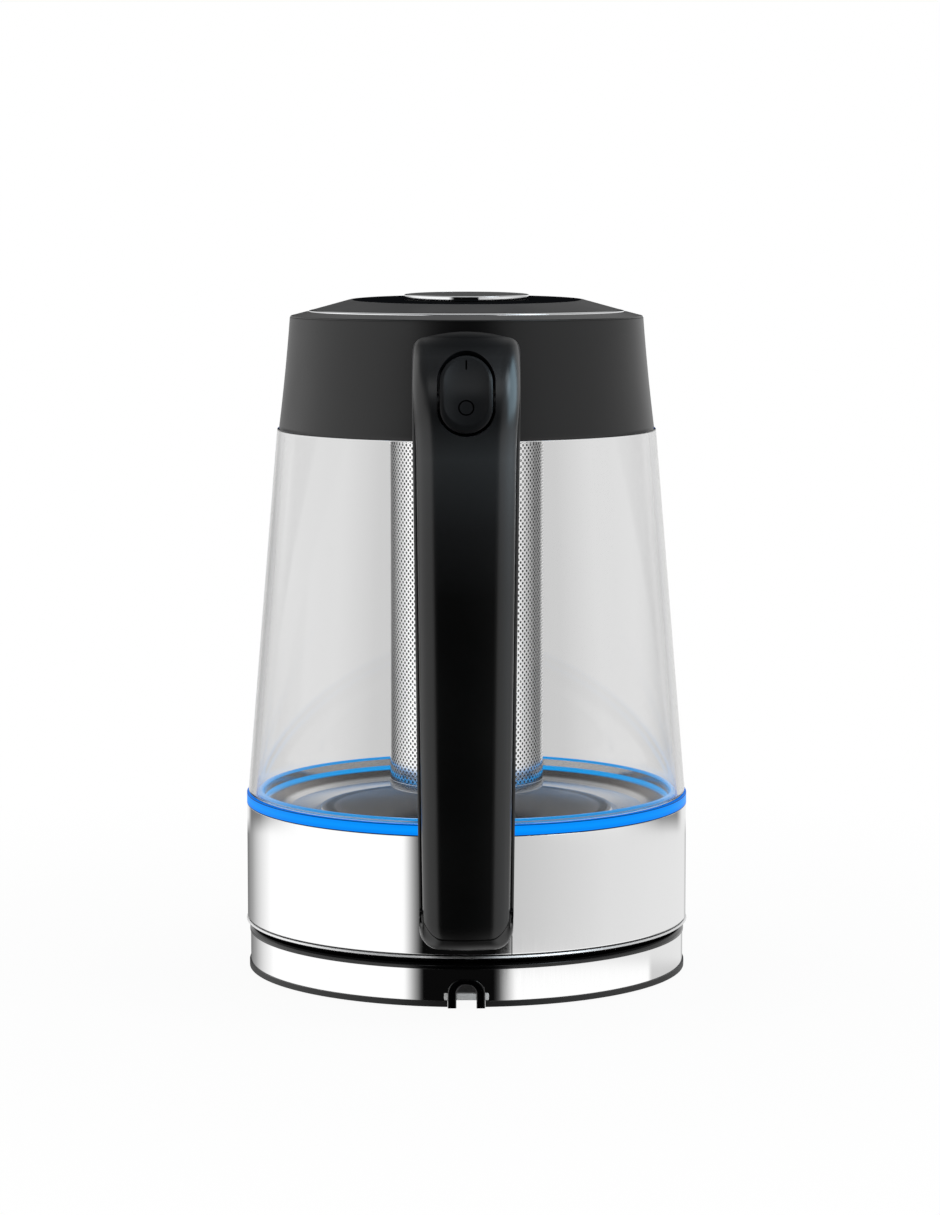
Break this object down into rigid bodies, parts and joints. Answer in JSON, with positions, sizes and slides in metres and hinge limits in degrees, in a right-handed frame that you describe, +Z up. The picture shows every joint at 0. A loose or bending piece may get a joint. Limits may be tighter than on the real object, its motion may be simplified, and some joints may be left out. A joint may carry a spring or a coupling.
{
  "type": "electric kettle",
  "caption": "Cordless glass kettle with a hanging perforated tea infuser, lit ring, steel skirt, loop handle with rocker switch, push-button lid and swivel power base.",
  "frame": {"origin": "axis of the jug at the plane of the feet under the power base", "axes": "+Z up along the axis of the jug, +Y towards the spout, -Y towards the handle, +X to the right seen from the handle"},
  "size_m": [0.161, 0.218, 0.246],
  "materials": {
    "satin_black": "fine satin moulded plastic",
    "gloss_black": "polished moulded plastic",
    "polished_steel": "mirror polished stainless steel",
    "chrome_trim": "bright chrome",
    "stainless": "pressed stainless steel",
    "clear_glass": "clear borosilicate glass",
    "light_guide": "clear acrylic, lit blue from below",
    "silicone": "translucent silicone",
    "foot_rubber": "soft rubber",
    "inner_plastic": "glass filled plastic",
    "brass": "bare brass",
    "aluminium": "rolled aluminium",
    "screw_steel": "zinc plated steel",
    "circuit_film": "flexible circuit film",
    "lamp": "lamp resin"
  },
  "bodies": {
    "power_base": {"base_tray": "satin_black", "base_hub_cover": "satin_black", "base_screws": "screw_steel", "base_feet": "foot_rubber", "base_trim_band": "polished_steel", "base_top_cover": "satin_black", "base_connector_post": "inner_plastic", "base_contacts": "brass", "cord_gland": "satin_black"},
    "connector_socket": {"kettle_socket": "inner_plastic", "socket_contacts": "brass"},
    "kettle": {"bottom_cover": "satin_black", "bottom_screws": "screw_steel", "lower_housing": "inner_plastic", "skirt_band": "polished_steel", "light_ring": "light_guide", "led_strip": "circuit_film", "leds": "lamp", "heater_pan": "stainless", "pan_seal": "silicone", "heat_spreader": "aluminium", "heating_element": "screw_steel", "control_unit": "inner_plastic", "bimetal_discs": "brass", "glass_jug": "clear_glass", "neck_seal": "silicone", "collar": "satin_black", "lid_seat": "satin_black", "handle_cover": "gloss_black", "handle_inner": "satin_black", "handle_screws": "screw_steel", "rocker_pin": "screw_steel", "switch_frame": "inner_plastic", "micro_switch": "inner_plastic", "steam_thermostat": "inner_plastic"},
    "rocker": {"switch_rocker": "gloss_black"},
    "lid": {"lid_cap": "satin_black", "lid_trim_ring": "chrome_trim", "lid_plug": "satin_black", "lid_seal": "silicone", "button_spring": "screw_steel"},
    "button": {"lid_button": "gloss_black", "lid_button_trim": "chrome_trim"},
    "bolt_left": {"latch_bolt_left": "inner_plastic"},
    "bolt_right": {"latch_bolt_right": "inner_plastic"},
    "infuser": {"infuser_tube": "stainless", "infuser_floor": "stainless", "infuser_ring": "satin_black"}
  },
  "joints": [
    {"name": "kettle_lift", "type": "slide", "parent": "power_base", "child": "connector_socket", "axis": [0, 0, 1], "range_m": [0, 0.08]},
    {"name": "kettle_swivel", "type": "hinge", "parent": "connector_socket", "child": "kettle", "pos_m": [0, 0, 0.0163], "axis": [0, 0, 1], "continuous": true},
    {"name": "lid_lift", "type": "slide", "parent": "kettle", "child": "lid", "axis": [0, 0, 1], "range_m": [0, 0.19]},
    {"name": "button_press", "type": "slide", "parent": "lid", "child": "button", "axis": [0, 0, -1], "range_m": [0, 0.0025], "stiffness_N_per_m": 400, "springref_m": -0.004, "deforming": ["button_spring"]},
    {"name": "bolt_left_slide", "type": "slide", "parent": "lid", "child": "bolt_left", "axis": [1, 0, 0], "range_m": [0, 0.0025]},
    {"name": "bolt_right_slide", "type": "slide", "parent": "lid", "child": "bolt_right", "axis": [-1, 0, 0], "range_m": [0, 0.0025]},
    {"name": "rocker_tilt", "type": "hinge", "parent": "kettle", "child": "rocker", "pos_m": [0, -0.12707, 0.214], "axis": [1, 0, 0], "range_deg": [-6, 0]},
    {"name": "infuser_twist", "type": "hinge", "parent": "lid", "child": "infuser", "pos_m": [0, 0, 0.21], "axis": [0, 0, 1], "range_deg": [-30, 0]}
  ],
  "couplings": [
    {"joint": "bolt_left_slide", "follows": "button_press", "ratio": 1},
    {"joint": "bolt_right_slide", "follows": "button_press", "ratio": 1}
  ]
}
